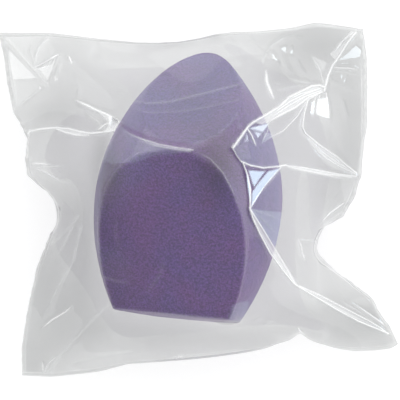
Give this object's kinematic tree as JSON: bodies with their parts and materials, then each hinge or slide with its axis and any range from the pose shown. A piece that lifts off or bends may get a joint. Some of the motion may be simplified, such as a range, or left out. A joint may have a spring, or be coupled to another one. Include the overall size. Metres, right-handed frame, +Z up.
{
  "type": "makeup sponge",
  "caption": "Bevelled egg-shaped makeup sponge with a flat base and cut faces, sealed in a clear crumpled film pouch.",
  "frame": {"origin": "middle of the pouch's footprint, on the surface that the pouch lies on", "axes": "+Z up out of the sponge's cut side, +Y towards the sponge's tip, +X across the sponge to the right"},
  "size_m": [0.092, 0.082, 0.0419],
  "materials": {
    "foam": "matte purple fine-pored foam",
    "film": "clear glossy crumpled film",
    "weld": "clear double film with a faint pressed texture"
  },
  "bodies": {
    "root": {"sponge": "foam", "front_film": "film", "back_film": "film", "top_weld": "weld", "right_weld": "weld", "bottom_weld": "weld", "left_weld": "weld"}
  },
  "joints": []
}
